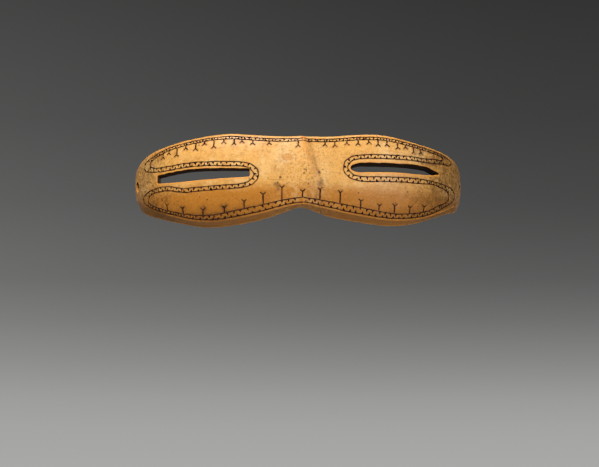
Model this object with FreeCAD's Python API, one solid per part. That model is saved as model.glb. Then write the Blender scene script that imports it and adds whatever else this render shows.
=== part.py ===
"""Arctic snow goggles carved in one piece from walrus ivory.

The eye shield is a curved bar that wraps round the brow, with one narrow sight slit per eye.
A double border line is engraved round every field, with small forks standing on it, and
the engraving is filled with dark pigment. Each run of pigment is a piece of its own, seated
in the groove that was cut for it.

Frame: millimetres, +X along the width, the front faces -Y, +Z up.
Origin: top of the nose notch, in the middle of the wall that sits on the bridge of the nose.
Angles are plan angles in degrees: 0 is the nose, -90 and +90 are the two temples.
"""
import FreeCAD, Part

import math
import os

from FreeCAD import Vector

# Driving sizes of the wrap, seen from above
half_width = 60.0
wrap_depth = 38.0
temple_angle = 90.0
seat_depth = 3.3

# Driving sizes of the section
front_bulge_radius = 55.0
sight_height = 12.7
nose_ridge = 1.3
ridge_spread = 8.0
rim_crown = 0.8
rim_inner_drop = 1.3
sill_crown = 0.5
sill_inner_rise = 0.8

# Outlines, as (plan angle, height): top rim, fold above the cheek facet, lower edge of that facet
brow_line = [
    (-90, 16.2), (-72, 21.7), (-54, 24.3), (-30, 26.8), (-12, 25.5), (0, 25.2),
    (10, 25.4), (19, 26.4), (30, 26.9), (48, 24.7), (72, 21.6), (90, 16.6),
]
fold_line = [
    (-90, 6.9), (-72, 3.0), (-54, -2.3), (-36, -5.4), (-18, -3.6), (-6, -0.8), (0, 0.0),
    (6, -0.9), (18, -3.1), (34, -4.4), (48, -2.9), (60, 0.2), (72, 3.5), (90, 6.8),
]
cheek_line = [
    (-90, 3.5), (-72, -0.4), (-54, -3.9), (-36, -6.6), (-18, -5.0), (-9, -2.7), (-3, -0.6), (0, -0.4),
    (4, -1.5), (9, -3.2), (20, -4.7), (34, -5.6), (48, -3.9), (60, -0.8), (72, 1.6), (90, 3.9),
]

# Thicknesses, as (angle away from the nose, depth behind the front curve)
wall_depth = [(0, 4.6), (12, 3.7), (30, 3.2), (60, 3.1), (90, 3.2)]
rim_depth = [(0, 6.4), (30, 7.0), (60, 5.6), (90, 3.7)]
facet_depth = [(0, 1.6), (10, 2.5), (50, 2.5), (90, 1.2)]

# Sections drawn from the nose to each temple, closer together towards the nose by the share
section_count = 21
nose_share = 0.35

# Sight slits, as (plan angle, height) of the upper and the lower edge on the front
left_slit_upper = [(-61, 13.0), (-52, 13.5), (-40, 13.95), (-19, 13.1)]
left_slit_lower = [(-61, 10.1), (-50, 9.7), (-33, 9.9), (-19, 10.3)]
right_slit_upper = [(16.8, 14.2), (18.5, 15.3), (24, 15.9), (38, 16.35), (50, 16.1), (57.5, 14.3)]
right_slit_lower = [(16.8, 13.2), (18.5, 12.3), (24, 12.4), (38, 13.0), (50, 13.2), (57.5, 14.0)]
slit_edges = {-1: (left_slit_upper, left_slit_lower), 1: (right_slit_upper, right_slit_lower)}
slit_drop = {-1: 0.5, 1: 0.9}
slit_lean = 0.5
slit_least_height = 0.2
slit_stations = 12

# Strap holes near the ends of the temples
strap_hole_radius = 1.8
strap_hole_setback = 5.0
strap_hole_height = 11.0

# Rounded ends of the temples
temple_top_round = 5.0
temple_bottom_round = 3.0
corner_start_angle = 82.0

# Engraved border: two lines run round the upper and the lower field of each half
line_width = 0.5
line_depth = 0.4
line_overcut = 0.3
line_step = 3.8
nose_overlap = 1.5
brow_run_end = 54.0
slit_run_end = 50.0
under_run_end = 46.0
fold_run_end = 54.0
run_step = 6.0
slit_turn_angle = 3.5
slit_turn_steps = 6
# Each line by side: its insets below the rim, above, past and below the slit, and above the fold,
# with the turns at the outer end of the upper and of the lower field, as (plan angle, height)
border = {
    ("edge_line", -1): {
        "rim": 1.25, "above": 1.0, "past": 2.1, "below": 2.6,
        "fold": [(0, 0.7), (90, 0.7)],
        "upper_turn": [
            (-61, 21.6), (-67.5, 20.0), (-72.5, 18.5), (-74.3, 17.1), (-72, 15.8), (-66, 14.8), (-57, 14.3),
        ],
        "lower_turn": [
            (-54, 8.5), (-61, 8.5), (-67.5, 7.9), (-73.5, 6.7), (-75.8, 5.5), (-73.6, 4.0), (-67, 1.5),
        ],
    },
    ("field_line", -1): {
        "rim": 2.2, "above": 2.5, "past": 3.7, "below": 4.0,
        "fold": [(0, 2.3), (20, 2.9), (36, 2.3), (54, 1.7)],
        "upper_turn": [(-61, 20.4), (-66.5, 19.1), (-68.8, 17.9), (-66.5, 16.7), (-60, 15.8)],
        "lower_turn": [(-54, 7.0), (-62, 7.0), (-68, 6.1), (-70.3, 4.7), (-68, 3.1), (-62, 1.3)],
    },
    ("edge_line", 1): {
        "rim": 1.25, "above": 1.6, "past": 1.6, "below": 1.7,
        "fold": [(0, 0.7), (90, 0.7)],
        "upper_turn": [(61, 21.7), (67, 20.5), (70, 19.5), (68.5, 18.6), (62, 18.2), (56, 18.0)],
        "lower_turn": [(54, 11.1), (61, 10.7), (67, 10.1), (71.8, 9.1), (73.8, 7.6), (72, 5.8), (66, 3.5)],
    },
    ("field_line", 1): {
        "rim": 2.2, "above": 3.0, "past": 3.1, "below": 3.4,
        "fold": [(0, 2.3), (20, 2.9), (36, 2.3), (54, 2.2)],
        "upper_turn": [(58, 21.3), (61.5, 20.7), (62.6, 20.1), (61, 19.6), (56, 19.6)],
        "lower_turn": [(52, 10.0), (58, 9.5), (64, 8.5), (67.3, 6.9), (66, 5.2), (60, 3.2)],
    },
}

# Forks that stand on the field line, as (plan angle, stem length)
fork_arm = 1.1
fork_spread = 48.0
fork_width = 0.42
fork_depth = 0.36
brow_forks = {
    -1: [(-58, 2.0), (-54.5, 1.1), (-50, 2.6), (-45.5, 1.1), (-40.8, 2.2), (-37, 0.9), (-33, 2.5), (-29, 1.2),
         (-25, 1.7), (-22, 0.8), (-18, 1.1), (-12, 0.8), (-1.9, 1.6)],
    1: [(7.6, 1.1), (11.2, 1.4), (15.6, 1.1), (19.8, 1.5), (24, 1.1), (27.6, 1.8), (31.4, 1.5), (36, 1.8),
        (39.6, 0.9), (43.4, 2.0), (47.2, 1.2)],
}
cheek_forks = {
    -1: [(-56, 1.9), (-47.5, 1.9), (-38, 2.0), (-29, 1.9), (-21.3, 2.5), (-14.2, 3.8), (-7.5, 4.6)],
    1: [(5.9, 3.8), (13.1, 4.0), (20.9, 2.2), (28.3, 2.0), (34.9, 2.8), (42, 2.2), (49.5, 1.9)],
}
nose_fork_angle = -0.4
nose_fork_stem = 2.2

tool_overshoot = 1.0


def along(guide, angle):
    """Height or depth of a guide at an angle, on a smooth curve through the guide's points."""
    last = len(guide) - 2
    index = 0
    while index < last and angle > guide[index + 1][0]:
        index += 1
    (a0, v0), (a1, v1) = guide[index], guide[index + 1]

    def slope(i):
        before = guide[max(i - 1, 0)]
        after = guide[min(i + 1, len(guide) - 1)]
        return (after[1] - before[1]) / (after[0] - before[0])

    span = a1 - a0
    f = (angle - a0) / span
    rise = v1 - v0
    start = slope(index) * span
    end = slope(index + 1) * span
    return v0 + f * (start + f * (3 * rise - 2 * start - end + f * (start + end - 2 * rise)))


def plan_point(angle):
    """Point of the front curve in plan, a quarter ellipse to each side of the nose."""
    t = math.radians(angle)
    return Vector(half_width * math.sin(t), wrap_depth * (1 - math.cos(t)) - seat_depth, 0)


def plan_inward(angle):
    """Unit vector from the front curve straight into the wall, in plan."""
    t = math.radians(angle)
    return Vector(-math.sin(t) / half_width, math.cos(t) / wrap_depth, 0).normalize()


def bulge(height):
    """Setback of the rounded front at a height, measured from the curve at sight height."""
    off = height - sight_height
    return front_bulge_radius - math.sqrt(front_bulge_radius ** 2 - off ** 2)


def ridge(angle):
    """How far the front stands forward on the nose ridge, a rounded crest with hollow flanks."""
    if abs(angle) >= ridge_spread:
        return 0.0
    return nose_ridge * math.cos(math.pi / 2 * angle / ridge_spread) ** 2


def at(angle, height, depth):
    """Point at a plan angle and height, at a depth behind the plan curve."""
    spot = plan_point(angle) + plan_inward(angle) * depth
    return Vector(spot.x, spot.y, height)


def on_front(angle, height):
    """Point of the carved front surface."""
    return at(angle, height, bulge(height) - ridge(angle))


def bow(start, middle, end):
    """Shallow curved edge from start to end, passing the middle point halfway."""
    curve = Part.BezierCurve()
    curve.setPoles([start, middle * 2 - (start + end) * 0.5, end])
    return curve.toShape()


def section(angle):
    """Closed section of the shield at one plan angle, in five edges."""
    away = abs(angle)
    top = along(brow_line, angle)
    fold = along(fold_line, angle)
    sill = along(cheek_line, angle)
    back = along(rim_depth, away)
    forward = ridge(angle)
    fold_depth = bulge(fold) - forward
    sill_depth = fold_depth + along(facet_depth, away)
    top_front = on_front(angle, top - rim_crown)
    middle = on_front(angle, (top - rim_crown + fold) / 2)
    fold_front = at(angle, fold, fold_depth)
    sill_front = at(angle, sill, sill_depth)
    sill_back = at(angle, sill + sill_inner_rise, back)
    sill_low = at(angle, sill - sill_crown, (sill_depth + back) / 2)
    hollow_height = (sill + sill_inner_rise + top - rim_inner_drop) / 2
    hollow = at(angle, hollow_height, along(wall_depth, away))
    top_back = at(angle, top - rim_inner_drop, back)
    top_depth = bulge(top) - forward
    top_high = at(angle, top, (top_depth + back) / 2)
    edges = [
        bow(top_front, middle, fold_front),
        Part.makeLine(fold_front, sill_front),
        bow(sill_front, sill_low, sill_back),
        bow(sill_back, hollow, top_back),
        bow(top_back, top_high, top_front),
    ]
    return Part.Wire(edges)


def corner_cutter(side, outline, overhang, radius, upward):
    """Cutter that rounds one corner of a temple's end, seen from the side."""
    inner = plan_point(corner_start_angle)
    tip = plan_point(temple_angle)
    inner_height = along(outline, side * corner_start_angle) + overhang * upward
    tip_height = along(outline, side * temple_angle) + overhang * upward
    edge = Vector(0, tip.y - inner.y, tip_height - inner_height).normalize()
    outward = Vector(0, -edge.z, edge.y) * upward
    to_centre = (tip.y - radius - (inner.y - outward.y * radius)) / edge.y
    centre = Vector(0, inner.y, inner_height) - outward * radius + edge * to_centre
    on_edge = centre + outward * radius
    on_end = centre + Vector(0, radius, 0)
    halfway = centre + (outward + Vector(0, 1, 0)).normalize() * radius
    clear = radius + tool_overshoot
    arc = Part.Arc(on_edge, halfway, on_end).toShape()
    rest = Part.makePolygon([
        on_end,
        on_end + Vector(0, clear, 0),
        on_end + Vector(0, clear, upward * clear * 2),
        on_edge + outward * clear,
        on_edge,
    ])
    face = Part.Face(Part.Wire([arc] + rest.Edges))
    thickness = along(rim_depth, corner_start_angle)
    face.translate(Vector(side * (inner.x - thickness - tool_overshoot), 0, 0))
    return face.extrude(Vector(side * (tip.x - inner.x + thickness + 2 * tool_overshoot), 0, 0))


def half_shield(side):
    """One half of the shield, lofted from the nose to the temple. side is -1 or +1."""
    shares = [index / (section_count - 1) for index in range(section_count)]
    angles = [side * temple_angle * share * (1 - nose_share * (1 - share)) for share in shares]
    half = Part.makeLoft([section(angle) for angle in angles], True, True)
    return half.cut([
        corner_cutter(side, brow_line, 0, temple_top_round, 1),
        corner_cutter(side, cheek_line, sill_crown, temple_bottom_round, -1),
        slit_cutter(*slit_edges[side], slit_drop[side]),
        strap_hole(side),
    ])


def slit_cutter(upper, lower, drop):
    """Cutter for one sight slit: four-cornered sections across the wall, from end to end."""
    start = upper[0][0]
    end = upper[-1][0]
    wires = []
    for step in range(slit_stations + 1):
        share = (1 - math.cos(math.pi * step / slit_stations)) / 2
        angle = start + (end - start) * share
        inward = plan_inward(angle)
        aim = (inward * (1 - slit_lean) + Vector(0, 1, 0) * slit_lean)
        aim = aim * (1 / aim.dot(inward))
        high = along(upper, angle)
        low = along(lower, angle)
        wall = along(wall_depth, abs(angle))
        front = plan_point(angle) - aim * tool_overshoot
        back = plan_point(angle) + aim * (wall + tool_overshoot)
        fall = drop / wall
        front_high = high + fall * tool_overshoot
        back_high = max(high - fall * (wall + tool_overshoot), low + slit_least_height)
        corners = [
            Vector(front.x, front.y, low),
            Vector(front.x, front.y, front_high),
            Vector(back.x, back.y, back_high),
            Vector(back.x, back.y, low),
        ]
        wires.append(Part.makePolygon(corners + corners[:1]))
    return Part.makeLoft(wires, True, False)


def strap_hole(side):
    """Cutter for the hole that takes the thong of the strap, square to the temple."""
    angle = side * hole_angle()
    inward = plan_inward(angle)
    start = at(angle, strap_hole_height, -tool_overshoot)
    length = along(rim_depth, temple_angle) + 2 * tool_overshoot
    return Part.makeCylinder(strap_hole_radius, length, start, inward)


def hole_angle():
    """Plan angle at which the strap hole lies its setback in front of the temple's end."""
    return math.degrees(math.acos(math.cos(math.radians(temple_angle)) + strap_hole_setback / wrap_depth))


def run(low, high, height):
    """Evenly spaced points of a route between two plan angles, at the height that a function gives."""
    count = max(1, round(abs(high - low) / run_step))
    angles = [low + (high - low) * step / count for step in range(count + 1)]
    return [(angle, height(angle)) for angle in angles]


def under_rim(line):
    """Height of a border line along the brow, by plan angle."""
    return lambda angle: along(brow_line, angle) - line["rim"]


def over_fold(line):
    """Height of a border line along the fold, by plan angle."""
    return lambda angle: along(fold_line, angle) + along(line["fold"], abs(angle))


def border_route(side, line):
    """One line of the border: along the brow, round the slit's inner end and back along the fold."""
    upper, lower = slit_edges[side]
    inner = side * min(abs(upper[0][0]), abs(upper[-1][0]))
    bend = inner + side * slit_turn_angle
    top = along(upper, bend) + line["above"]
    bottom = along(lower, bend) - line["below"]
    middle = (top + bottom) / 2
    reach = slit_turn_angle + line["past"]
    route = run(-side * nose_overlap, side * brow_run_end, under_rim(line))
    route += line["upper_turn"]
    route += run(side * slit_run_end, bend, lambda a: along(upper, a) + line["above"])
    for step in range(1, slit_turn_steps):
        swing = math.pi * step / slit_turn_steps
        route.append((bend - side * reach * math.sin(swing), middle + (top - middle) * math.cos(swing)))
    route += run(bend, side * under_run_end, lambda a: along(lower, a) - line["below"])
    route += line["lower_turn"]
    route += run(side * fold_run_end, -side * nose_overlap, over_fold(line))
    curve = Part.BSplineCurve()
    curve.interpolate([Vector(angle, height, 0) for angle, height in route])
    spots = curve.toShape().discretize(Distance=line_step)
    return [(spot.x, spot.y) for spot in spots]


def face_normal(angle, height):
    """Outward unit vector of the carved front at a plan angle and height."""
    nudge = 0.05
    across = on_front(angle + nudge, height) - on_front(angle - nudge, height)
    upward = on_front(angle, height + nudge) - on_front(angle, height - nudge)
    return across.cross(upward).normalize()


def graver(route, width, depth):
    """V-shaped cutter that follows a route on the front, deepest on the route itself."""
    spots = [on_front(angle, height) for angle, height in route]
    flare = width / 2 * (depth + line_overcut) / depth
    wires = []
    for index, (angle, height) in enumerate(route):
        ahead = spots[min(index + 1, len(spots) - 1)] - spots[max(index - 1, 0)]
        normal = face_normal(angle, height)
        sideways = normal.cross(ahead).normalize()
        crest = spots[index] + normal * line_overcut
        corners = [spots[index] - normal * depth, crest + sideways * flare, crest - sideways * flare]
        wires.append(Part.makePolygon(corners + corners[:1]))
    strokes = [Part.makeLoft([start, end], True, True) for start, end in zip(wires, wires[1:])]
    if len(strokes) == 1:
        return strokes[0]
    return strokes[0].multiFuse(strokes[1:])


def fork(angle, foot, stem, upward):
    """Cutter for one fork: a stem from the field line and two arms. upward is +1 or -1."""
    def spot(sideways, rise):
        return (angle + math.degrees(sideways / plan_speed(angle)), foot + upward * rise)

    swing = math.radians(fork_spread)
    reach = fork_arm * math.sin(swing)
    rise = stem + fork_arm * math.cos(swing)
    stem_cut = graver([spot(0, 0), spot(0, stem + fork_width / 2)], fork_width, fork_depth)
    arms = [graver([spot(0, stem), spot(way * reach, rise)], fork_width, fork_depth) for way in (-1, 1)]
    return stem_cut.multiFuse(arms)


def plan_speed(angle):
    """Distance along the front curve for one radian of plan angle."""
    t = math.radians(angle)
    return math.hypot(half_width * math.cos(t), wrap_depth * math.sin(t))


def forks(side, marks, upward):
    """Cutter for a row of forks on the field line of one half. upward is +1 or -1."""
    line = border[("field_line", side)]
    foot = over_fold(line) if upward > 0 else under_rim(line)
    return Part.makeCompound([fork(angle, foot(angle), stem, upward) for angle, stem in marks])


def engrave(body, cutters):
    """Cut named cutters into the body, one after the other. Returns the body and the pigment by name."""
    fills = {}
    for name, cutter in cutters.items():
        fills[name] = body.common(cutter)
        body = body.cut(cutter)
    return body, fills


def engraved_half(side, side_name):
    """One half with its border lines and forks cut, and the pigment that fills them, by name."""
    cutters = {}
    for line_name in ("edge_line", "field_line"):
        route = border_route(side, border[(line_name, side)])
        cutters[line_name + "_" + side_name] = graver(route, line_width, line_depth)
    cutters["brow_forks_" + side_name] = forks(side, brow_forks[side], -1)
    cutters["cheek_forks_" + side_name] = forks(side, cheek_forks[side], 1)
    return engrave(half_shield(side), cutters)


def save(shape, name):
    """Write one piece under its own name."""
    shape.exportStep(os.path.join("parts", name + ".step"))


os.makedirs("parts", exist_ok=True)
left_half, left_fills = engraved_half(-1, "left")
right_half, right_fills = engraved_half(1, "right")
nose_cutter = forks(-1, [(nose_fork_angle, nose_fork_stem)], 1)
shield, nose_fill = engrave(left_half.fuse(right_half), {"nose_fork": nose_cutter})
pieces = {"eye_shield": shield, **left_fills, **right_fills, **nose_fill}
for name, piece in pieces.items():
    print(name, len(piece.Solids), round(piece.Volume, 2), piece.isValid(), len(piece.Faces))
    save(piece, name)
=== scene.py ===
import math

import bpy
import numpy as np
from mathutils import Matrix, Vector
from mathutils.bvhtree import BVHTree
from mathutils.kdtree import KDTree


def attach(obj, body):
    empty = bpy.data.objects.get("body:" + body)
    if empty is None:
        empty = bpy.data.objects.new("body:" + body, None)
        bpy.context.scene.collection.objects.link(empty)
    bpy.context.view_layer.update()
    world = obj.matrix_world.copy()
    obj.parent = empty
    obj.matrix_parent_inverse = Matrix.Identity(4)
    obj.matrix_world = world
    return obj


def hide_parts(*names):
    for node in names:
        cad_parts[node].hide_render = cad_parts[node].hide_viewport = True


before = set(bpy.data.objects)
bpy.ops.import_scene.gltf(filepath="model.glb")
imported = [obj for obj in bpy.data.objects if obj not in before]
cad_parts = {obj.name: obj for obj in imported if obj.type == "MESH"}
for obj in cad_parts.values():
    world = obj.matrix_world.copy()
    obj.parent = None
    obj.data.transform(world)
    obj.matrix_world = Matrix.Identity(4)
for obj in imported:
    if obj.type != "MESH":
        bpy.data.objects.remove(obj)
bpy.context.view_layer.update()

# Lengths in the mesh work are millimetres, and a finished piece is scaled to metres.
metres = 0.001
shield_grain = 0.25
paste_grain = 0.11
path_stride = 0.25
line_width = 0.36
paste_root = 0.35
groove_top = -0.12

# The crest of the nose ridge leans from the brow to the notch.
crest_top = 23.5
crest_lean = 0.28

sides = ("left", "right")
engraved = [name for name in sorted(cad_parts) if name != "eye_shield"]


def unit(vectors):
    """Vectors of length one, from one vector or rows of them."""
    vectors = np.asarray(vectors, float)
    return vectors / np.maximum(np.linalg.norm(vectors, axis=-1, keepdims=True), 1e-12)


def stand(name, data):
    """The piece, lamp or camera of that name, in the scene."""
    holder = bpy.data.objects.new(name, data)
    bpy.context.scene.collection.objects.link(holder)
    return holder


def smooth_mesh(name, points, faces, material):
    """A smooth-shaded mesh from points in metres and faces."""
    mesh = bpy.data.meshes.new(name)
    mesh.from_pydata(points, [], faces)
    mesh.polygons.foreach_set("use_smooth", [True] * len(mesh.polygons))
    mesh.materials.append(material)
    return mesh


def waves(points, length, seed, stretch=(1, 1, 1), count=14):
    """A smooth uneven height from about -1 to 1, whose bumps are as far apart as the length."""
    dice = np.random.default_rng(seed)
    directions = unit(dice.normal(size=(count, 3)))
    speeds = 2 * math.pi / (length * dice.uniform(0.7, 1.6, count))
    phases = dice.uniform(0, 2 * math.pi, count)
    along = (points / np.array(stretch)) @ (directions * speeds[:, None]).T
    return np.sin(along + phases).sum(1) / math.sqrt(count)


class Skin:
    """An even mesh of small squares, in millimetres."""

    def __init__(self, points, squares):
        self.points = points
        self.squares = squares
        start = squares.ravel()
        end = np.roll(squares, -1, axis=1).ravel()
        self.near = np.concatenate([start, end])
        self.far = np.concatenate([end, start])

    def total(self, rows, values):
        """The values added up on the points that the rows name."""
        size = len(self.points)
        return np.stack([np.bincount(rows, column, minlength=size) for column in values.T], 1)

    def around(self, values, share=1.0):
        """The mean of each point's neighbours, each taken by its share."""
        weights = np.broadcast_to(share, self.near.shape)
        whole = np.bincount(self.near, weights, minlength=len(self.points))
        return self.total(self.near, values[self.far] * weights[:, None]) / whole[:, None]

    def normals(self):
        """Each point's outward direction, from the squares that meet there."""
        corners = self.points[self.squares]
        faces = np.cross(corners[:, 2] - corners[:, 0], corners[:, 3] - corners[:, 1])
        return unit(self.total(self.squares.ravel(), np.repeat(faces, 4, axis=0)))

    def eased_normals(self, rounds, keen):
        """The directions with small steps evened out and true edges kept."""
        normals = self.normals()
        for _ in range(rounds):
            turn = 1 - (normals[self.near] * normals[self.far]).sum(1)
            normals = unit(normals + 2 * self.around(normals, np.exp(-turn / keen) + 1e-6))
        return normals

    def hollowness(self, rounds):
        """How far each point lies below the evened surface: above 0 in a hollow, below 0 on an edge."""
        eased = self.points
        for _ in range(rounds):
            eased = self.around(eased)
        return ((eased - self.points) * self.normals()).sum(1)

    def object(self, name, material, values, normals=None):
        """The finished piece, in metres, with the values as named layers on its points."""
        mesh = smooth_mesh(name, (self.points * metres).tolist(), self.squares.tolist(), material)
        for layer, numbers in values.items():
            stored = mesh.attributes.new(layer, "FLOAT", "POINT")
            stored.data.foreach_set("value", numbers.astype(np.float32))
        if normals is not None:
            mesh.normals_split_custom_set_from_vertices(normals.tolist())
        return stand(name, mesh)


def node_shell(name):
    """A solid's corners in millimetres and its triangles."""
    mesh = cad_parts[name].data
    mesh.calc_loop_triangles()
    points = np.empty(len(mesh.vertices) * 3, np.float32)
    mesh.vertices.foreach_get("co", points)
    corners = np.empty(len(mesh.loop_triangles) * 3, np.int32)
    mesh.loop_triangles.foreach_get("vertices", corners)
    return points.reshape(-1, 3).astype(float) / metres, corners.reshape(-1, 3)


def recast(names, grain):
    """One even skin round the named solids, with squares of the grain's size."""
    points = []
    triangles = []
    first = 0
    for name in names:
        shell_points, shell_triangles = node_shell(name)
        points += shell_points.tolist()
        triangles += (shell_triangles + first).tolist()
        first = len(points)
    mesh = bpy.data.meshes.new("casting")
    mesh.from_pydata(points, [], triangles)
    casting = stand("casting", mesh)
    remesh = casting.modifiers.new("grain", "REMESH")
    remesh.mode = "VOXEL"
    remesh.voxel_size = grain
    view = bpy.context.evaluated_depsgraph_get()
    result = bpy.data.meshes.new_from_object(casting.evaluated_get(view))
    points = np.empty(len(result.vertices) * 3, np.float32)
    result.vertices.foreach_get("co", points)
    corners = np.empty(len(result.loops), np.int32)
    result.loops.foreach_get("vertex_index", corners)
    bpy.data.objects.remove(casting)
    return Skin(points.reshape(-1, 3).astype(float), corners.reshape(-1, 4))


# The shield: an even skin over the filled solid, worked by hand.
blank = recast(sorted(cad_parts), shield_grain)
paste = {name: recast([name], paste_grain) for name in engraved}
blank_tree = BVHTree.FromPolygons(blank.points.tolist(), blank.squares.tolist())
blank_normals = blank.eased_normals(30, 0.02)


def surface_heights(points):
    """Each point's height over the skin, and its foot on it."""
    heights = np.empty(len(points))
    feet = np.empty((len(points), 3))
    for row, point in enumerate(points):
        foot, normal, _, _ = blank_tree.find_nearest(Vector(point))
        heights[row] = (Vector(point) - foot).dot(normal)
        feet[row] = foot
    return heights, feet


seats = {name: surface_heights(skin.points) for name, skin in paste.items()}


def hops(skin, start):
    """How many square sides each point of a skin lies from the start."""
    beside = [[] for _ in range(len(skin.points))]
    for near, far in zip(skin.near.tolist(), skin.far.tolist()):
        beside[near].append(far)
    count = np.full(len(skin.points), -1)
    count[start] = 0
    edge = [start]
    step = 0
    while edge:
        step += 1
        fresh = []
        for point in edge:
            for other in beside[point]:
                if count[other] < 0:
                    count[other] = step
                    fresh.append(other)
        edge = fresh
    return count


def resampled(path, stride):
    """The same path with its points evenly apart."""
    lengths = np.concatenate([[0], np.cumsum(np.linalg.norm(np.diff(path, axis=0), axis=1))])
    marks = np.linspace(0, lengths[-1], max(2, round(lengths[-1] / stride) + 1))
    return np.stack([np.interp(marks, lengths, path[:, axis]) for axis in range(3)], 1)


def evened(path, rounds):
    """The path with its corners drawn smooth and its two ends kept."""
    for _ in range(rounds):
        path = np.concatenate([path[:1], (path[:-2] + 2 * path[1:-1] + path[2:]) / 4, path[-1:]])
    return path


def line_path(name):
    """A border line's middle, from the brow over the nose to the notch, in even steps."""
    skin = paste[name]
    heights, feet = seats[name]
    middle_x = np.abs(skin.points[:, 0]).min() + 0.3
    ends = np.nonzero(np.abs(skin.points[:, 0]) < middle_x)[0]
    start = ends[skin.points[ends, 2].argmax()]
    count = hops(skin, start)
    path = []
    ring_hops = 5
    for low in range(0, count.max(), ring_hops):
        ring = (count >= low) & (count < low + ring_hops) & (heights > groove_top)
        if ring.sum() > 3:
            path.append(feet[ring].mean(0))
    return resampled(evened(resampled(np.array(path), 2 * path_stride), 6), path_stride)


line_paths = {name: line_path(name) for name in engraved if "line" in name}
marks = [point for path in line_paths.values() for point in path]
for name in engraved:
    if "fork" in name:
        marks += list(paste[name].points[seats[name][0] > -0.1])
line_tree = KDTree(len(marks))
for point in marks:
    line_tree.insert(point, 0)
line_tree.balance()
line_distance = np.array([line_tree.find(point)[2] for point in blank.points])


def on_front(x, z):
    """The place that is seen from straight ahead at x and z, or None beside the shield."""
    return blank_tree.ray_cast(Vector((x, -30, z)), Vector((0, 1, 0)))[0]


def pits(points, dice, count, centre, spread, size, depth):
    """Small hollows of all sizes scattered about a place on the front."""
    dip = np.zeros(len(points))
    for _ in range(count):
        aim = np.array(centre) + dice.normal(size=2) * np.array(spread)
        hit = on_front(*aim)
        if hit is None:
            continue
        radius = size * min(0.45 + dice.exponential(0.5), 2.0)
        near = np.linalg.norm(points - np.array(hit), axis=1) / radius
        dip = np.maximum(dip, depth * dice.uniform(0.5, 1.2) * np.clip(1 - near**2, 0, 1))
    return dip


def scratch(points, start, end, width, depth):
    """A shallow cut between two places on the front, given by x and z."""
    first = np.array(on_front(*start))
    way = np.array(on_front(*end)) - first
    share = np.clip(((points - first) @ way) / (way @ way), 0, 1)
    away = np.linalg.norm(points - first - share[:, None] * way, axis=1)
    return depth * np.exp(-((away / width) ** 2))


# Groups of pits: how many, their middle, their spread, their size and their depth
pit_groups = [
    (22, (1, 12), (7, 5.0), 0.34, 0.11),
    (26, (-54, 12), (3, 6), 0.35, 0.12),
    (26, (54, 12), (3, 6), 0.35, 0.12),
    (40, (0, 14), (34, 7), 0.3, 0.08),
]
# Scratches: start, end, width and depth
scratches = [
    ((-13.0, 9.1), (-7.5, 8.7), 0.22, 0.06),
    ((-26.0, 3.6), (-23.2, 1.6), 0.25, 0.05),
    ((5.8, -0.3), (6.8, -3.0), 0.2, 0.12),
]
dice = np.random.default_rng(7)
front = blank.points
hole_field = np.max([pits(front, dice, *group) for group in pit_groups], axis=0)
cut_field = np.sum([scratch(front, *cut) for cut in scratches], axis=0)
undulation = 0.05 * waves(front, 9, 1, (1.8, 1.8, 1)) + 0.02 * waves(front, 3.2, 2)
groove_dip = 0.09 * np.exp(-((line_distance / 0.4) ** 2))
lift = undulation - hole_field - cut_field - groove_dip
crest = front[:, 0] - 0.2 - (crest_top - front[:, 2]) * crest_lean
on_ridge = np.clip(-blank_normals[:, 1] * 2, 0, 1) * np.clip((front[:, 2] - 6) / 6, 0, 1)
relief = 0.32 * np.exp(-(((crest + 0.6) / 1.8) ** 2)) - 0.36 * np.exp(-(((crest - 1.8) / 1.5) ** 2))
shift = blank_normals * (lift + relief * on_ridge)[:, None]
shield = Skin(blank.points + shift, blank.squares)
shield_normals = shield.eased_normals(30, 0.03)
hollow = shield.hollowness(30)


class Wire:
    """One output of a shader node. Sums on it add the nodes that do them."""

    def __init__(self, paint, socket):
        self.paint = paint
        self.socket = socket

    def sum(self, operation, first, second=0.0):
        """The output of one Math node."""
        return self.paint.node("ShaderNodeMath", {"operation": operation}, {0: first, 1: second})

    def __add__(self, other):
        return self.sum("ADD", self, other)

    def __sub__(self, other):
        return self.sum("SUBTRACT", self, other)

    def __rsub__(self, other):
        return self.sum("SUBTRACT", other, self)

    def __mul__(self, other):
        return self.sum("MULTIPLY", self, other)

    def __truediv__(self, other):
        return self.sum("DIVIDE", self, other)

    def __pow__(self, other):
        return self.sum("POWER", self, other)

    def __abs__(self):
        return self.sum("ABSOLUTE", self)

    def top(self, other):
        """The larger of this and the other."""
        return self.sum("MAXIMUM", self, other)

    def least(self, other):
        """The smaller of this and the other."""
        return self.sum("MINIMUM", self, other)

    def fade(self, low, high):
        """0 up to low and 1 from high, with a smooth rise between them."""
        return self.paint.node(
            "ShaderNodeMapRange",
            {"interpolation_type": "SMOOTHSTEP"},
            {"Value": self, "From Min": low, "From Max": high},
        )

    __radd__ = __add__
    __rmul__ = __mul__


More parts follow.
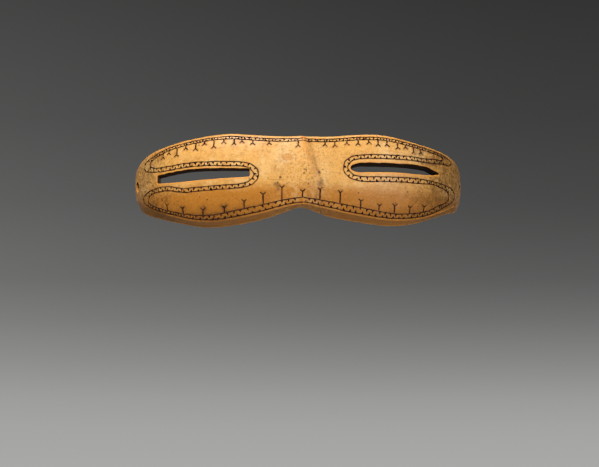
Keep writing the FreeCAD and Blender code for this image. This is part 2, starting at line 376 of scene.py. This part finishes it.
class Paint:
    """A material that is being mixed, with places on the object in millimetres."""

    def __init__(self, name):
        self.material = bpy.data.materials.new(name)
        self.material.use_nodes = True
        self.tree = self.material.node_tree
        self.tree.nodes.clear()
        spot = self.node("ShaderNodeTexCoord", output="Object")
        self.place = self.node(
            "ShaderNodeVectorMath", {"operation": "SCALE"}, {0: spot, "Scale": 1 / metres}
        )
        self.x = self.part(self.place, 0)
        self.z = self.part(self.place, 2)

    def node(self, kind, settings=None, inputs=None, output=0):
        """A node of that kind, its settings made first, then its sockets filled or linked."""
        made = self.tree.nodes.new(kind)
        for key, value in (settings or {}).items():
            if key == "stops":
                while len(made.color_ramp.elements) < len(value):
                    made.color_ramp.elements.new(0.5)
                for element, (position, colour) in zip(made.color_ramp.elements, value):
                    element.position = position
                    element.color = (*colour, 1)
            else:
                setattr(made, key, value)
        for key, value in (inputs or {}).items():
            if isinstance(value, Wire):
                self.tree.links.new(value.socket, made.inputs[key])
            elif isinstance(value, tuple) and made.inputs[key].type == "RGBA":
                made.inputs[key].default_value = (*value, 1)
            elif isinstance(value, tuple):
                made.inputs[key].default_value = value
            elif made.inputs[key].enabled or not isinstance(key, int):
                made.inputs[key].default_value = value
        return Wire(self, made.outputs[output])

    def part(self, vector, axis):
        """One of a vector's three numbers."""
        return self.node("ShaderNodeSeparateXYZ", {}, {0: vector}, output=axis)

    def mix(self, share, first, second):
        """The first colour, giving way to the second by the share."""
        return self.node(
            "ShaderNodeMix", {"data_type": "RGBA"}, {0: share, 6: first, 7: second}, output=2
        )

    def stretched(self, factors):
        """The place with each axis multiplied by its factor."""
        return self.node(
            "ShaderNodeVectorMath", {"operation": "MULTIPLY"}, {0: self.place, 1: factors}
        )

    def cloud(self, size, detail=4.0, rough=0.55, place=None):
        """Soft noise about 0.5, whose blobs are about the size in millimetres."""
        return self.node(
            "ShaderNodeTexNoise",
            {},
            {"Vector": place or self.place, "Scale": 1 / size, "Detail": detail, "Roughness": rough},
        )

    def specks(self, spacing, size, share):
        """1 in small round specks, of which only the share is kept."""
        sockets = {"Vector": self.place, "Scale": 1 / spacing}
        distance = self.node("ShaderNodeTexVoronoi", {}, sockets, output="Distance")
        chance = self.node("ShaderNodeTexVoronoi", {}, sockets, output="Color")
        pick = self.node("ShaderNodeSeparateColor", {}, {0: chance})
        return (1 - distance.fade(size * 0.5, size)) * (1 - pick.fade(share - 0.02, share + 0.02))

    def layer(self, name):
        """The numbers kept on the mesh under that name."""
        return self.node("ShaderNodeAttribute", {"attribute_name": name}, {}, output="Fac")

    def blot(self, x, z, wide, high):
        """A soft oval at a place on the front, 1 in its middle."""
        away = ((self.x - x) / wide) ** 2 + ((self.z - z) / high) ** 2
        return 1 - (away + (self.cloud(1.5) - 0.5) * 0.8).fade(0.3, 1.2)

    def finish(self, colour, roughness, height, depth, plain):
        """The finished material: what varies, then the plain numbers of the shader."""
        bump = self.node(
            "ShaderNodeBump", {}, {"Height": height, "Distance": depth * metres, "Strength": 1.0}
        )
        varying = {"Base Color": colour, "Roughness": roughness, "Normal": bump}
        return self.worn_by(self.node("ShaderNodeBsdfPrincipled", {}, {**varying, **plain}))

    def worn_by(self, shader):
        """The material with that shader as its surface."""
        output = self.tree.nodes.new("ShaderNodeOutputMaterial")
        self.tree.links.new(shader.socket, output.inputs["Surface"])
        return self.material


honey = (0.83, 0.43, 0.105)
cream = (0.93, 0.62, 0.27)
ochre = (0.55, 0.21, 0.022)
rust = (0.36, 0.115, 0.017)
olive = (0.26, 0.115, 0.016)
umber = (0.075, 0.024, 0.007)


def walrus_ivory():
    """Old tusk: honey above and ochre below, partly painted shade, stained and speckled at the ends, with
    painted highlights and shade on rims, slits and nose.
    """
    paint = Paint("walrus_ivory")
    broad = paint.cloud(16, 3)
    medium = paint.cloud(5.0, 5, 0.6)
    small = paint.cloud(2.0, 5, 0.62)
    fine = paint.cloud(0.8, 6, 0.7)
    grain = paint.cloud(1.4, 5, 0.65, paint.stretched((0.15, 0.15, 1.5)))
    blush = paint.cloud(9.0, 3, 0.5, paint.stretched((1.0, 1.0, 0.7)))
    # Honey above and ochre below: partly the tusk's own tone, partly painted shade on the lower field,
    # which faces down.
    upper = (paint.z + (medium - 0.5) * 4).fade(4.0, 9.5)
    colour = paint.mix(upper, ochre, honey)
    # Pale cream patches on the upper field, partly painted highlight.
    colour = paint.mix(blush.fade(0.46, 0.66) * upper * 0.55, colour, cream)
    colour = paint.mix(broad.fade(0.52, 0.7) * 0.4, colour, ochre)
    colour = paint.mix(medium.fade(0.52, 0.72) * 0.35, colour, rust)
    colour = paint.mix(grain.fade(0.5, 0.72) * 0.28, colour, ochre)
    colour = paint.mix(small.fade(0.48, 0.64) * 0.32, colour, ochre)
    colour = paint.mix((1 - fine.fade(0.36, 0.52)) * (0.10 + upper * 0.22), colour, cream)
    shadow_side = 1 - (paint.z + (small - 0.5) * 3).fade(-2.5, 2.5)
    colour = paint.mix(shadow_side * 0.55, colour, (0.42, 0.16, 0.018))
    reach = abs(paint.x) + paint.x * 0.06 + (1 - upper) * 2.5
    ends = (reach + (medium - 0.5) * 18 + (small - 0.5) * 8).fade(41, 57)
    colour = paint.mix(ends * (0.35 + small.fade(0.35, 0.65) * 0.45), colour, olive)
    nose = 1 - (abs(paint.x) + (medium - 0.5) * 12).fade(3, 17)
    # Cream mottle on the nose, partly painted highlight.
    colour = paint.mix(nose * small.fade(0.42, 0.62) * 0.3, colour, cream)
    # Painted shade on the nose ridge's right flank, with a slight stain in it.
    crest = paint.x - 1.3 - (crest_top - paint.z) * crest_lean
    flank = (1 - (abs(crest) + (small - 0.5) * 1.5).fade(0.6, 2.6)) * paint.z.fade(8, 12)
    colour = paint.mix(flank * (0.25 + small.fade(0.35, 0.65) * 0.35), colour, ochre)
    colour = paint.mix(paint.blot(-5.9, 17.2, 2.4, 1.5) * 0.5, colour, ochre)
    ring = paint.blot(-5.9, 17.2, 3.0, 2.1) - paint.blot(-5.9, 17.2, 2.5, 1.6)
    colour = paint.mix(ring.fade(0.15, 0.7) * small.fade(0.4, 0.6) * 0.45, colour, (0.80, 0.62, 0.40))
    colour = paint.mix(paint.blot(-9.7, 6.4, 1.5, 2.0) * small.fade(0.35, 0.6) * 0.6, colour, umber)
    colour = paint.mix(paint.blot(6.1, 8.0, 1.6, 2.0) * small.fade(0.35, 0.6) * 0.55, colour, umber)
    dusty = (nose * 0.8 + ends + 0.12).least(1.0)
    specks = paint.specks(0.8, 0.36, 0.34) * dusty
    crumbs = paint.specks(1.5, 0.26, 0.36) * (nose * 0.25 + ends * 0.8 + 0.3).least(1.0)
    flecks = paint.specks(3.2, 0.12, 0.5)
    colour = paint.mix(specks * 0.6, colour, rust)
    colour = paint.mix(crumbs * 0.6, colour, umber)
    colour = paint.mix(nose * fine.fade(0.52, 0.66) * 0.4, colour, rust)
    colour = paint.mix(ends * fine.fade(0.5, 0.6) * 0.6, colour, (0.10, 0.036, 0.007))
    colour = paint.mix(flecks * 0.85, colour, umber)
    colour = paint.mix(fine.fade(0.5, 0.68) * (0.22 + ends * 0.4), colour, olive)
    # Darker umber in the hollows; along the edges, the top rim among them, a painted orange highlight.
    edge_highlight_and_hollows = paint.layer("hollow")
    colour = paint.mix(edge_highlight_and_hollows.fade(0.03, 0.16) * 0.75, colour, umber)
    colour = paint.mix((0 - edge_highlight_and_hollows).fade(0.08, 0.22) * 0.7, colour, (0.84, 0.34, 0.050))
    soot = paint.layer("soot")
    colour = paint.mix(soot * (0.35 + medium.fade(0.3, 0.65) * 0.5), colour, rust)
    smear = paint.layer("smear") * (0.25 + fine.fade(0.38, 0.58) * 0.75)
    colour = paint.mix(smear * 0.85, colour, umber)
    wounds = paint.layer("wounds")
    colour = paint.mix(wounds.fade(0.015, 0.09) * 0.75, colour, umber)
    facing = paint.node("ShaderNodeNewGeometry", {}, {}, output="Normal")
    up = paint.part(facing, 2)
    forward = 0 - paint.part(facing, 1)
    inward = 0 - paint.part(facing, 0) * (paint.x * 0.02)
    # Painted highlight: faces that look up, the top rim most, take a warm orange.
    colour = paint.mix(up.fade(0.45, 0.85) * 0.55, colour, (0.72, 0.32, 0.045))
    # Painted shade: the walls at the slits' outer ends, which face inward and forward, turn near black.
    slit_end = inward.fade(0.15, 0.4) * forward.fade(0.05, 0.3) * abs(paint.x).fade(42, 46)
    colour = paint.mix(slit_end * 0.9, colour, (0.05, 0.016, 0.005))
    # Painted shadow: downward-facing faces from the slits up, such as the slits' upper walls, turn near
    # black.
    eaves = (0 - up).fade(0.35, 0.75) * paint.z.fade(8.5, 10.0)
    colour = paint.mix(eaves, colour, (0.010, 0.004, 0.002))
    roughness = (0.36 + (fine - 0.5) * 0.3 + dusty * 0.14).top(eaves)
    height = fine * 0.3 + grain * 0.3 - specks * 0.7 - crumbs * 0.8 - flecks * 0.5 + small * 0.6
    plain = {
        "Subsurface Weight": 0.06,
        "Subsurface Radius": (1.2 * metres, 0.6 * metres, 0.25 * metres),
        "Subsurface Scale": 1.0,
        "Coat Weight": 0.05 - eaves * 0.05,
        "Coat Roughness": 0.2,
        "IOR": 1.42,
    }
    return paint.finish(colour, roughness, height, 0.08, plain)


def soot_paste(name, sizes, tints, brown_from, worn_from, worn_share, roughness):
    """Soot and grease rubbed into the cuts: near black, brown in clouds and rusty where it is rubbed."""
    paint = Paint(name)
    medium = paint.cloud(sizes[0], 4, 0.6)
    fine = paint.cloud(sizes[1], 5, 0.7)
    colour = paint.mix(medium.fade(*brown_from), tints[0], tints[1])
    colour = paint.mix(fine.fade(*worn_from) * worn_share, colour, tints[2])
    return paint.finish(colour, roughness + (fine - 0.5) * 0.4, fine, 0.05, {"IOR": 1.25})


ivory_finish = walrus_ivory()
dark_tints = [(0.010, 0.004, 0.003), (0.040, 0.013, 0.006), (0.16, 0.065, 0.022)]
paste_finish = soot_paste("dark_paste", (3.0, 0.5), dark_tints, (0.42, 0.66), (0.58, 0.8), 0.4, 0.55)
thin_tints = [(0.012, 0.004, 0.002), (0.060, 0.018, 0.005), (0.20, 0.075, 0.018)]
line_finish = soot_paste("thin_paste", (4.0, 0.7), thin_tints, (0.36, 0.62), (0.52, 0.78), 0.45, 0.75)


def place_piece(piece, nodes=()):
    """The piece rides with the body and stands for its solids."""
    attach(piece, "root")
    if nodes:
        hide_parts(*nodes)


# Soot stains the ivory beside the cuts, and is smeared along the left cheek and the right brow.
soot_field = np.exp(-((line_distance / 0.32) ** 2))
cheek_place = np.exp(-(((front[:, 0] + 32) / 13) ** 2)) * np.clip((2 - front[:, 2]) / 2, 0, 1)
brow_place = np.exp(-(((front[:, 0] - 48) / 9) ** 2)) * np.clip((front[:, 2] - 15) / 3, 0, 1)
smear_field = np.exp(-((line_distance / 0.85) ** 2)) * (cheek_place + 0.7 * brow_place)
layers = {"hollow": hollow, "soot": soot_field, "smear": smear_field, "wounds": hole_field + cut_field}
eye_guard = shield.object("carved_shield", ivory_finish, layers, shield_normals)
place_piece(eye_guard, ["eye_shield"])

shield_tree = BVHTree.FromPolygons(shield.points.tolist(), shield.squares.tolist())


def on_shield(point, rise):
    """The place on the worked surface nearest to the point, raised a little."""
    foot, normal, _, _ = shield_tree.find_nearest(Vector(point))
    return np.array(foot) + np.array(normal) * rise


def spur(root, tip_way, along_way, width, length, dice):
    """One small cut tooth: an uneven wedge that stands on its line and points into the band."""
    outline = [(-0.5, -0.1), (0.5, -0.1), (0.3, 0.5), (0.07, 1.0), (-0.07, 1.0), (-0.3, 0.5)]
    lean = dice.uniform(-0.4, 0.4)
    points = []
    for across, out in outline:
        spot = root + along_way * ((across + lean * out) * width * dice.uniform(0.8, 1.2))
        points.append(on_shield(spot + tip_way * (out * length * dice.uniform(0.85, 1.15)), 0.045))
    middle = root + tip_way * (length * 0.4) + along_way * (lean * 0.4 * width)
    points.append(on_shield(middle, 0.07))
    points.append(on_shield(middle, -paste_root))
    corners = len(outline)
    faces = []
    for corner in range(corners):
        beside = (corner + 1) % corners
        faces.append((corner, beside, corners))
        faces.append((beside, corner, corners + 1))
    return points, faces


def stroke(path, widths, dice):
    """The paste in one cut: a strip of uneven width, level with the surface, over a V-shaped root."""
    lanes = (-1.0, -0.5, 0.0, 0.5, 1.0)
    ahead = unit(np.gradient(path, axis=0))
    wander = 0.05 * waves(path, 5.0, int(dice.integers(1000)))
    reach = {way: widths / 2 * (1 + 0.3 * waves(path, 1.6, int(dice.integers(1000)))) for way in (-1, 1)}
    points = []
    for row, place in enumerate(path):
        foot, normal, _, _ = shield_tree.find_nearest(Vector(place))
        across = unit(np.cross(normal, ahead[row]))
        for lane in lanes:
            side_reach = reach[1 if lane > 0 else -1][row] * lane + wander[row]
            points.append(on_shield(place + across * side_reach, 0.03 - 0.03 * abs(lane)))
        points.append(np.array(foot) - np.array(normal) * paste_root)
    ring = len(lanes) + 1
    faces = []
    for row in range(len(path) - 1):
        for lane in range(ring):
            beside = (lane + 1) % ring
            first = row * ring
            faces.append((first + lane, first + beside, first + ring + beside, first + ring + lane))
    faces.append(tuple(range(ring)))
    faces.append(tuple(len(points) - ring + lane for lane in reversed(range(ring))))
    return points, faces


def cut_between(start, end, bend, wide, narrow, dice):
    """One short cut from start to end, bent to one side, that narrows as it goes."""
    share = np.linspace(0, 1, 7)[:, None]
    way = end - start
    up = np.cross(way, shield_tree.find_nearest(Vector(start))[1])
    path = start + way * share + up * bend * share * (1 - share)
    return stroke(path, wide + (narrow - wide) * share[:, 0] ** 1.5, dice)


def gathered(strokes):
    """The points and faces of several strokes as those of one."""
    points = []
    faces = []
    for stroke_points, stroke_faces in strokes:
        faces += [tuple(corner + len(points) for corner in face) for face in stroke_faces]
        points += stroke_points
    return points, faces


def fork_islands(skin):
    """The points of a skin, one group for each separate solid."""
    left = np.ones(len(skin.points), bool)
    while left.any():
        island = (hops(skin, int(left.argmax())) >= 0) & left
        left &= ~island
        if island.sum() > 120:
            yield island


def fork_strokes(name, dice):
    """A row of forks: for each, a stem from the field line and two curved arms."""
    skin = paste[name]
    heights, feet = seats[name]
    half = "left" if feet[:, 0].mean() < 0 else "right"
    line = line_paths["field_line_" + half]
    strokes = []
    for island in fork_islands(skin):
        top = feet[island & (heights > groove_top)]
        gaps = np.array([np.linalg.norm(line - point, axis=1).min() for point in top])
        foot = top[gaps < gaps.min() + 0.25].mean(0)
        far = top[gaps > gaps.max() - 0.45]
        way = unit(far.mean(0) - foot)
        spread = far - far.mean(0)
        spread -= (spread @ way)[:, None] * way
        sideways = unit(spread[np.linalg.norm(spread, axis=1).argmax()])
        reach = (far - far.mean(0)) @ sideways
        tips = [far[reach.argmin()], far[reach.argmax()]]
        split = np.mean(tips, axis=0) - way * 0.72
        stem = (foot - way * 0.15, split + way * 0.1)
        strokes.append(cut_between(*stem, dice.uniform(-0.08, 0.08), 0.46, 0.4, dice))
        for tip in tips:
            reach_out = split + (tip - split) * dice.uniform(0.95, 1.25)
            strokes.append(cut_between(split, reach_out, dice.uniform(-0.25, 0.25), 0.44, 0.24, dice))
    return gathered(strokes)


def solid_piece(name, points, faces, material):
    """A piece from points in millimetres and faces, shaded smooth."""
    return stand(name, smooth_mesh(name, (np.array(points) * metres).tolist(), faces, material))


def spur_row(edge, field, seed):
    """Teeth that stand in turn on the two border lines of one half, all along the band."""
    dice = np.random.default_rng(seed)
    points = []
    faces = []
    step = 6
    while step < len(edge) - 8:
        for own, other, late in ((edge, field, 0), (field, edge, 5)):
            mark = edge[min(step + late + int(dice.integers(0, 2)), len(edge) - 2)]
            index = int(np.linalg.norm(own - mark, axis=1).argmin())
            index = min(max(index, 2), len(own) - 3)
            root = own[index]
            across = other[np.linalg.norm(other - root, axis=1).argmin()] - root
            gap = np.linalg.norm(across)
            if gap < 0.7:
                continue
            tip_way = unit(across)
            along_way = unit(own[index + 2] - own[index - 2])
            length = min((0.68 if gap > 1.3 else 0.85) * gap, 1.05) * dice.uniform(0.75, 1.15)
            width = dice.uniform(0.7, 1.15)
            new_points, new_faces = spur(root, tip_way, along_way, width, length, dice)
            faces += [tuple(corner + len(points) for corner in face) for face in new_faces]
            points += new_points
        step += int(dice.integers(9, 12))
    return points, faces


for seed, (name, path) in enumerate(sorted(line_paths.items())):
    points, faces = stroke(path, np.full(len(path), line_width), np.random.default_rng(seed))
    place_piece(solid_piece(name + "_paste", points, faces, line_finish), [name])
for seed, name in enumerate(sorted(set(engraved) - set(line_paths))):
    points, faces = fork_strokes(name, np.random.default_rng(51 + seed))
    place_piece(solid_piece(name + "_paste", points, faces, paste_finish), [name])
for seed, name in enumerate(sides):
    points, faces = spur_row(line_paths["edge_line_" + name], line_paths["field_line_" + name], 31 + seed)
    place_piece(solid_piece("spurs_" + name, points, faces, paste_finish))


# The stage: a pale floor that turns up into a wall all round, grey from light below to dark above.
floor_height = -0.44
wall_radius = 3.0


def studio_wall():
    """Pale and matt for the light; where it is looked at, it glows with a soft grey fall of painted light
    from floor to ceiling.
    """
    paint = Paint("studio_grey")
    greys = [
        (0.25, 0.41), (0.302, 0.371), (0.327, 0.335), (0.36, 0.257), (0.393, 0.19),
        (0.426, 0.142), (0.492, 0.10), (0.559, 0.074), (0.66, 0.052),
    ]
    low, high = greys[0][0], greys[-1][0]
    stops = [((height - low) / (high - low), (grey, grey, grey * 0.985)) for height, grey in greys]
    # Painted light: the wall glows lighter low down than high up, and high up lighter on the left than on
    # the right.
    height = paint.z * metres
    fall = paint.node("ShaderNodeValToRGB", {"stops": stops}, {0: (height - low) / (high - low)})
    sunk = height.fade(0.28, 0.5)
    side_light = 1 + sunk * (0.36 - 0.72 * (paint.x * metres).fade(-0.45, 0.45))
    looked = paint.node("ShaderNodeLightPath", {}, {}, output="Is Camera Ray")
    glossy = paint.node("ShaderNodeLightPath", {}, {}, output="Is Glossy Ray")
    through = paint.node("ShaderNodeLightPath", {}, {}, output="Is Transmission Ray")
    lit = paint.node("ShaderNodeVectorMath", {"operation": "SCALE"}, {0: fall, "Scale": side_light})
    glow = paint.node("ShaderNodeEmission", {}, {"Color": lit, "Strength": 1.0})
    matt = paint.node("ShaderNodeBsdfDiffuse", {}, {"Color": (0.42, 0.42, 0.41)})
    wall = height.fade(floor_height + 0.02, floor_height + 0.3)
    share = looked.top(glossy).top(through) * wall
    shader = paint.node("ShaderNodeMixShader", {}, {0: share, 1: matt, 2: glow})
    return paint.worn_by(shader)


def studio():
    """The floor and the wall as one turned sheet."""
    turn = 0.8
    profile = [(0.001, floor_height), (wall_radius - turn, floor_height)]
    for step in range(1, 13):
        angle = math.pi / 2 * step / 12
        radius = wall_radius - turn + turn * math.sin(angle)
        profile.append((radius, floor_height + turn - turn * math.cos(angle)))
    profile.append((wall_radius, 3.2))
    around = 96
    points = []
    for radius, height in profile:
        for step in range(around):
            angle = 2 * math.pi * step / around
            points.append((radius * math.cos(angle), radius * math.sin(angle), height))
    faces = []
    for ring in range(len(profile) - 1):
        for step in range(around):
            beside = (step + 1) % around
            low = ring * around
            high = low + around
            faces.append((low + step, low + beside, high + beside, high + step))
    stand("studio", smooth_mesh("studio", points, faces, studio_wall()))


def lamp(name, place, size, power, colour):
    """A soft square lamp that faces the object."""
    light = bpy.data.lights.new(name, "AREA")
    light.size = size
    light.energy = power
    light.color = colour
    holder = stand(name, light)
    holder.location = place
    holder.rotation_mode = "QUATERNION"
    holder.rotation_quaternion = Vector(place).to_track_quat("Z", "Y")


studio()
lamp("high_lamp", (-0.34, -0.58, 0.78), 0.35, 13.5, (1.0, 0.97, 0.93))
lamp("side_lamp", (0.75, -0.75, 0.15), 0.5, 3.7, (1.0, 0.98, 0.96))
lamp("top_lamp", (0.05, 0.30, 0.85), 0.35, 2.3, (1.0, 0.95, 0.88))

world = bpy.data.worlds.new("room_light")
bpy.context.scene.world = world
world.use_nodes = True
sky = world.node_tree.nodes["Background"].inputs
sky["Color"].default_value = (1, 1, 1, 1)
sky["Strength"].default_value = 0.12

# The camera looks slightly up at the goggles, from far enough that they keep their proportions.
azimuth = math.radians(-3)
elevation = math.radians(-9)
distance = 2.4
pixels_per_metre = 2755
frame_width = 599
frame_middle = (299.5, 233.5)
nose_in_frame = (303.5, 180)
level = math.cos(elevation)
back = Vector((math.sin(azimuth) * level, -math.cos(azimuth) * level, math.sin(elevation)))
rightward = Vector((math.cos(azimuth), math.sin(azimuth), 0))
upward = back.cross(rightward)
nose = Vector((0, -0.0033, 0.0087))
aim = nose + rightward * (frame_middle[0] - nose_in_frame[0]) / pixels_per_metre
aim += upward * (nose_in_frame[1] - frame_middle[1]) / pixels_per_metre
camera = bpy.data.cameras.new("camera")
camera.sensor_width = 36
camera.lens = camera.sensor_width * distance * pixels_per_metre / frame_width
camera.clip_start = 0.05
camera.clip_end = 12
eye = stand("camera", camera)
eye.location = aim + back * distance
eye.rotation_mode = "QUATERNION"
eye.rotation_quaternion = back.to_track_quat("Z", "Y")
bpy.context.scene.camera = eye
bpy.context.scene.view_settings.view_transform = "Standard"
